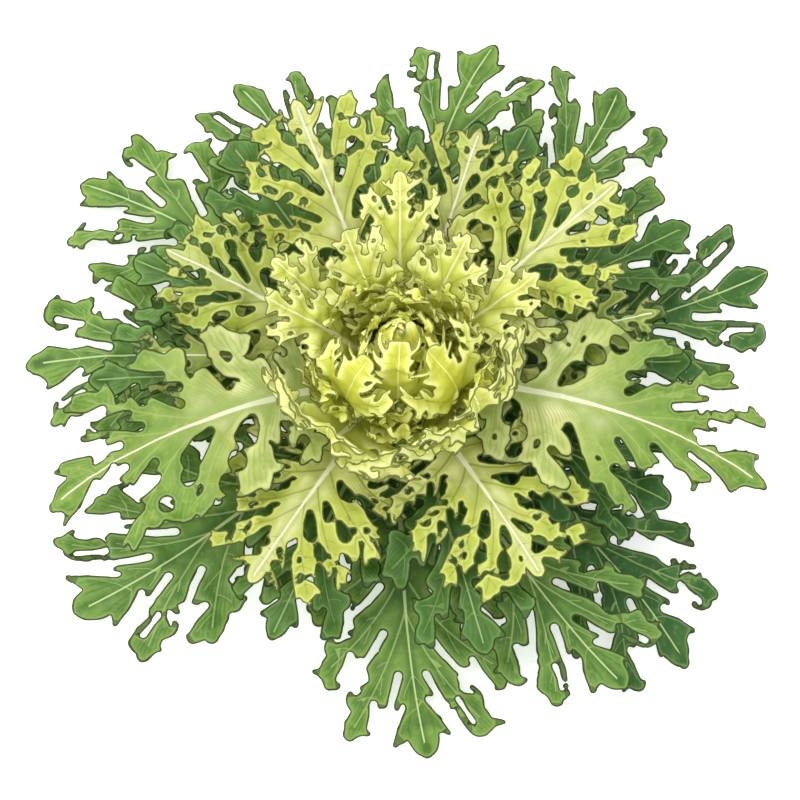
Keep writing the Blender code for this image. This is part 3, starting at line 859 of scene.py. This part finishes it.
# Colours of a leaf, as sRGB: near its foot, over the blade, towards the edge, its darker patches and
# streaks and the painted shade in the creases along its veins and beside its midrib, where it is deepest
# green, its green outer half, the midrib, the side veins, the pale rim painted as a highlight and the dark
# edge line painted as shade; then how wide that edge line is, as a share of 0.66 mm
Tones = namedtuple("Tones", "foot blade far shade deep green rib vein rim line stroke")
TONES = {
    "outer_leaf": Tones(
        "#4f7c26", "#7da042", "#9aba58", "#316018", "#2a6632", "#7ea344", "#c4d692", "#b0c97a", "#94b456",
        "#22380f", 1.35,
    ),
    "under_leaf": Tones(
        "#406a1c", "#54822c", "#6c983a", "#2f5714", "#2c6228", "#6a9640", "#9ab86a", "#80a250", "#84a84e",
        "#1b3209", 1.3,
    ),
    "middle_leaf": Tones(
        "#b0c464", "#f0efb2", "#c6cf54", "#a6b442", "#6f9a3c", "#6b9030", "#f4f4da", "#8b9236", "#dde48a",
        "#3d4b0e", 1.15,
    ),
    "long_leaf": Tones(
        "#b0c464", "#f0f0b4", "#cdd570", "#92ae4a", "#2c6833", "#5c8a30", "#f2f4d4", "#a9bc66", "#b4c866",
        "#2a400f", 1.25,
    ),
    "inner_leaf": Tones(
        "#c4cc4a", "#e4e67a", "#eaee94", "#b4be3c", "#98b84a", "#b7c850", "#f0f1c4", "#a9af42", "#f0f2b0",
        "#646e1c", 0.8,
    ),
    "heart_leaf": Tones(
        "#cfd144", "#e2e362", "#eef18c", "#bcbf36", "#98b84a", "#b7c850", "#eeefac", "#b2b53e", "#f4f5ac",
        "#747a1e", 0.62,
    ),
    "heart_bud": Tones(
        "#d6d54a", "#e4e466", "#f0f290", "#c0c03a", "#98b84a", "#b7c850", "#eeefac", "#b8ba42", "#f5f6ae",
        "#84882a", 0.46,
    ),
}


def living_leaf(name, tones):
    """Living endive leaf: a thin waxy skin with a satin gloss, a pale watery midrib and branching veins.

    Its green lies in soft patches between the veins, streaked along the fan of the finest ones, with
    painted shade in the creases along the veins and beside the midrib; a pale band inside its cut edge is a
    painted highlight, and a thin dark line along that edge is painted shade.
    """
    material = bpy.data.materials.new(name)
    material.use_nodes = True
    tree = material.node_tree
    shader = tree.nodes["Principled BSDF"]
    shares = []
    for label in ("leaf_lines", "leaf_spread", "leaf_tint", "leaf_fine"):
        stored = add(tree, "Attribute", attribute_name=label)
        shares += add(tree, "SeparateXYZ", {0: stored.outputs["Vector"]}).outputs[:]
    rib, vein, edge, along, out, fan, deep, green, light, fine, _, hollow = shares
    where = add(tree, "TexCoord").outputs["Object"]

    # Patches of 10 to 15 mm and mottles of 2 to 3 mm
    patches = add(tree, "TexNoise", {"Vector": where, "Scale": 75.0, "Detail": 3.0}).outputs[0]
    mottles = add(tree, "TexNoise", {"Vector": where, "Scale": 380.0, "Detail": 2.0}).outputs[0]

    # The finest veins: about 60 to a side, a millimetre or so apart where the blade is wide
    streak = add(tree, "Math", {0: fan, 1: 380.0}, operation="MULTIPLY").outputs[0]
    streak = add(tree, "Math", {0: patches, 1: 9.0, 2: streak}, operation="MULTIPLY_ADD").outputs[0]
    streak = add(tree, "Math", {0: streak}, operation="SINE").outputs[0]

    # Layers of colour, with their cover as steps multiplied together: (value, from, to, cover at both ends)
    layers = (
        (tones.blade, ((along, 0.05, 0.40, 0.0, 1.0),)),
        (tones.far, ((out, 0.45, 0.90, 0.0, 1.0), (along, 0.2, 0.6, 0.0, 1.0))),
        (tones.green, ((green, 0.0, 1.0, 0.0, 1.0), (along, 0.40, 0.66, 0.0, 1.0))),
        (tones.deep, ((deep, 0.0, 1.0, 0.0, 1.0), (patches, 0.30, 0.62, 0.75, 1.0))),
        (tones.shade, ((patches, 0.42, 0.68, 0.0, 1.0), (edge, 0.5, 4.0, 0.05, 0.60))),
        # Painted shade: darker in the creases along the veins, where the blade sinks between its swellings
        (tones.shade, (
            (hollow, 0.1, 0.9, 0.42, 0.0), (rib, 1.0, 2.0, 0.0, 1.0), (edge, 0.5, 3.0, 0.3, 1.0),
        )),
        # Painted shade: darker along both sides of the midrib, most towards the foot
        (tones.shade, ((rib, 7.0, 1.0, 0.0, 0.60), (along, 0.1, 0.9, 1.0, 0.45))),
        (tones.shade, ((streak, 0.2, 1.0, 0.0, 0.48), (edge, 0.6, 3.0, 0.0, 1.0))),
        (tones.far, ((mottles, 0.50, 0.75, 0.0, 0.22), (edge, 0.4, 1.5, 0.0, 1.0))),
        (tones.vein, ((fine, 0.5, 1.2, 0.55, 0.0), (edge, 0.5, 1.5, 0.0, 1.0))),
        (tones.vein, ((vein, 0.55, 1.15, 0.9, 0.0), (along, 0.0, 0.9, 1.0, 0.6))),
        (tones.rib, ((rib, 0.80, 1.05, 0.95, 0.0),)),
        # Painted highlight: a pale band just inside the dark edge line, past the inner part of the leaf
        (tones.rim, ((edge, 0.9, 1.6, 0.45, 0.0), (along, 0.15, 0.30, 0.0, 1.0))),
        # Painted shade: a thin dark line along every edge
        (tones.line, ((edge, 0.30 * tones.stroke, 0.66 * tones.stroke, 0.92, 0.0),)),
    )
    colour = linear(tones.foot)
    for tone, steps in layers:
        cover = None
        for value, start, end, first, last in steps:
            sockets = {0: value, 1: start, 2: end, 3: first, 4: last}
            step = add(tree, "MapRange", sockets, interpolation_type="SMOOTHSTEP").outputs[0]
            if cover is not None:
                step = add(tree, "Math", {0: cover, 1: step}, operation="MULTIPLY").outputs[0]
            cover = step
        colour = add(tree, "Mix", {0: cover, 6: colour, 7: linear(tone)}, data_type="RGBA").outputs[2]
    lightness = add(tree, "MapRange", {0: light, 3: 0.72, 4: 1.12}).outputs[0]
    bright = add(tree, "HueSaturation", {"Value": lightness, "Color": colour})
    tree.links.new(bright.outputs[0], shader.inputs["Base Color"])

    #     Waxy skin: its gloss varies in small mottles, with small dimples 1 to 2 mm apart
    gloss = add(tree, "MapRange", {0: mottles, 1: 0.3, 2: 0.7, 3: 0.42, 4: 0.56}).outputs[0]
    tree.links.new(gloss, shader.inputs["Roughness"])
    relief = add(tree, "Math", {0: streak, 1: 0.18, 2: mottles}, operation="MULTIPLY_ADD").outputs[0]
    bump = add(tree, "Bump", {"Strength": 0.35, "Distance": 0.25 * MM, "Height": relief})
    tree.links.new(bump.outputs[0], shader.inputs["Normal"])
    shader.inputs["IOR"].default_value = 1.42
    shader.inputs["Specular IOR Level"].default_value = 0.4
    return material


def cut_stem_skin():
    """Endive stem: pale, fibrous and faintly green, with a cut face that has dried to a light tan."""
    material = bpy.data.materials.new("cut_endive_stem")
    material.use_nodes = True
    tree = material.node_tree
    shader = tree.nodes["Principled BSDF"]
    where = add(tree, "TexCoord").outputs["Object"]
    height = add(tree, "SeparateXYZ", {0: where}).outputs[2]
    stretched = add(tree, "Mapping", {"Vector": where, "Scale": (1.0, 1.0, 0.2)}).outputs[0]
    fibres = add(tree, "TexNoise", {"Vector": stretched, "Scale": 900.0, "Detail": 4.0}).outputs[0]
    cut = add(tree, "MapRange", {0: height, 1: 0.2 * MM, 2: 1.4 * MM, 3: 1.0, 4: 0.0}).outputs[0]
    up = add(tree, "MapRange", {0: height, 1: 8 * MM, 2: 22 * MM}).outputs[0]
    colour = linear("#d9d9b2")
    for share, top in ((fibres, "#e8e8cf"), (up, "#b4bc4e"), (cut, "#b99f6a")):
        colour = add(tree, "Mix", {0: share, 6: colour, 7: linear(top)}, data_type="RGBA").outputs[2]
    tree.links.new(colour, shader.inputs["Base Color"])
    bump = add(tree, "Bump", {"Strength": 0.5, "Distance": 0.3 * MM, "Height": fibres})
    tree.links.new(bump.outputs[0], shader.inputs["Normal"])
    shader.inputs["Roughness"].default_value = 0.6
    shader.inputs["IOR"].default_value = 1.42
    return material


def turned(name, heights, steps, material):
    """A body turned about the head's axis from its radius at each height, top to bottom, closed."""
    points = []
    for height in heights:
        radius = body_radius(height)
        for k in range(steps):
            turn = math.tau * k / steps
            points.append((radius * math.cos(turn), radius * math.sin(turn), height))
    faces = []
    for level in range(len(heights) - 1):
        for k in range(steps):
            a, b = level * steps + k, level * steps + (k + 1) % steps
            faces.append((a, a + steps, b + steps, b))
    faces.append(list(range(steps)))
    faces.append([len(points) - 1 - k for k in range(steps)])
    mesh = bpy.data.meshes.new(name)
    mesh.from_pydata(points, [], faces)
    mesh.polygons.foreach_set("use_smooth", [len(face) == 4 for face in faces])
    mesh.materials.append(material)
    obj = bpy.data.objects.new(name, mesh)
    bpy.context.scene.collection.objects.link(obj)
    return obj


def crown_piece():
    """The cut stem that the leaves stand on."""
    steps = 40
    heights = [CROWN_HEIGHT * (1 - (k / steps) ** 1.5) for k in range(steps)] + [0.0]
    # A hair below the top, where the radius is not yet zero
    heights[0] = CROWN_HEIGHT * 0.9999
    return turned("cut_stem", heights, 72, cut_stem_skin())


def bud_piece(material, seed):
    """The closed bud: small curled blades round a core, as one piece."""
    heights = [CROWN_HEIGHT + CORE_GAP + (CORE_HEIGHT - CORE_GAP) * (1 - k / 16) for k in range(17)]
    # A hair below the top, where the radius is not yet zero
    heights[0] -= 0.02 * MM
    parts = [turned("heart_bud_core", heights, 32, material)]
    for number, values in enumerate(BUD_LEAVES + BUD_CURLS, 1):
        name, leaf = f"heart_bud_{number}", mm_leaf(*values)
        tint = (0.0, 0.0, BUD_LIGHTNESS + BUD_STEP * (number % 5))
        parts.append(leaf_object(name, "heart_bud", BUD, leaf, seed + number, tint, 0.0, material))
    graph = bpy.context.evaluated_depsgraph_get()
    for part in parts:
        mesh = bpy.data.meshes.new_from_object(part.evaluated_get(graph))
        part.modifiers.clear()
        part.data = mesh
    with bpy.context.temp_override(active_object=parts[0], selected_editable_objects=parts):
        bpy.ops.object.join()
    parts[0].name = "heart_bud_curls"
    return parts[0]


def declare(piece, node):
    """Tells the frame what the piece rides on, and hides the model's part that it stands for."""
    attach(piece, "root")
    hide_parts(node)


def leaves():
    """Every ring of leaves, then the curls round the bud, the bud and the stem."""
    seed = 0
    rings = (
        ("outer_leaf", OUTER, OUTER_LEAVES), ("under_leaf", UNDER, UNDER_LEAVES),
        ("middle_leaf", MIDDLE, MIDDLE_LEAVES), ("inner_leaf", INNER, INNER_LEAVES),
        ("heart_leaf", HEART, HEART_LEAVES),
    )
    long_skin = living_leaf("endive_long_leaf", TONES["long_leaf"])
    for ring, kind, places in rings:
        material = living_leaf("endive_" + ring, TONES[ring])
        for number, (values, tint, phase) in enumerate(zip(places, TINTS[ring], PHASES[ring]), 1):
            seed += 1
            node, leaf = f"{ring}_{number:02d}", mm_leaf(*values)
            skin = long_skin if ring == "middle_leaf" and leaf.reach > LONG_REACH else material
            declare(leaf_object(node + "_blade", ring, kind, leaf, seed, tint, phase, skin), node)
    for number, (node, values) in enumerate(HEART_CURLS, 1):
        name, leaf = f"{node}_curl_{number}", mm_leaf(*values)
        curl = leaf_object(name, "heart_leaf", CURL, leaf, 100 + number, CURL_TINT, number, material)
        declare(curl, node)
    bud_skin = living_leaf("endive_heart_bud", TONES["heart_bud"])
    declare(bud_piece(bud_skin, seed), "heart_bud")
    declare(crown_piece(), "crown")


def studio():
    """White table lit softly from below, even light from all round, one broad lamp from the upper left."""
    bpy.ops.mesh.primitive_plane_add(size=6)
    floor = bpy.context.object
    floor.name = "table_top"
    paper = bpy.data.materials.new("softly_lit_white_table")
    paper.use_nodes = True
    shader = paper.node_tree.nodes["Principled BSDF"]
    shader.inputs["Base Color"].default_value = linear("#fafafa")
    shader.inputs["Emission Color"].default_value = linear("#ffffff")
    shader.inputs["Emission Strength"].default_value = 0.45
    shader.inputs["Roughness"].default_value = 0.9
    shader.inputs["Specular IOR Level"].default_value = 0.1
    floor.data.materials.append(paper)
    world = bpy.data.worlds.new("even_light")
    bpy.context.scene.world = world
    world.use_nodes = True
    world.node_tree.nodes["Background"].inputs["Color"].default_value = (1, 1, 1, 1)
    world.node_tree.nodes["Background"].inputs["Strength"].default_value = 1.1
    lamp = bpy.data.lights.new("broad_lamp", "AREA")
    lamp.energy = 11.0
    lamp.size = 1.0
    holder = bpy.data.objects.new("broad_lamp", lamp)
    holder.location = LAMP_PLACE
    holder.rotation_euler = (Vector(LAMP_TARGET) - holder.location).to_track_quat("-Z", "Y").to_euler()
    bpy.context.scene.collection.objects.link(holder)
    bpy.context.scene.view_settings.view_transform = "Standard"


def camera():
    """Camera nearly straight above, leaning 13 degrees back towards the viewer."""
    lens = bpy.data.cameras.new("camera")
    lens.lens = 100
    holder = bpy.data.objects.new("camera", lens)
    back = Vector((0, -math.cos(CAMERA_ELEVATION), math.sin(CAMERA_ELEVATION)))
    holder.location = Vector(CAMERA_TARGET) + CAMERA_DISTANCE * back
    holder.rotation_euler = (-back).to_track_quat("-Z", "Y").to_euler()
    bpy.context.scene.collection.objects.link(holder)
    bpy.context.scene.camera = holder


camera()
studio()
leaves()
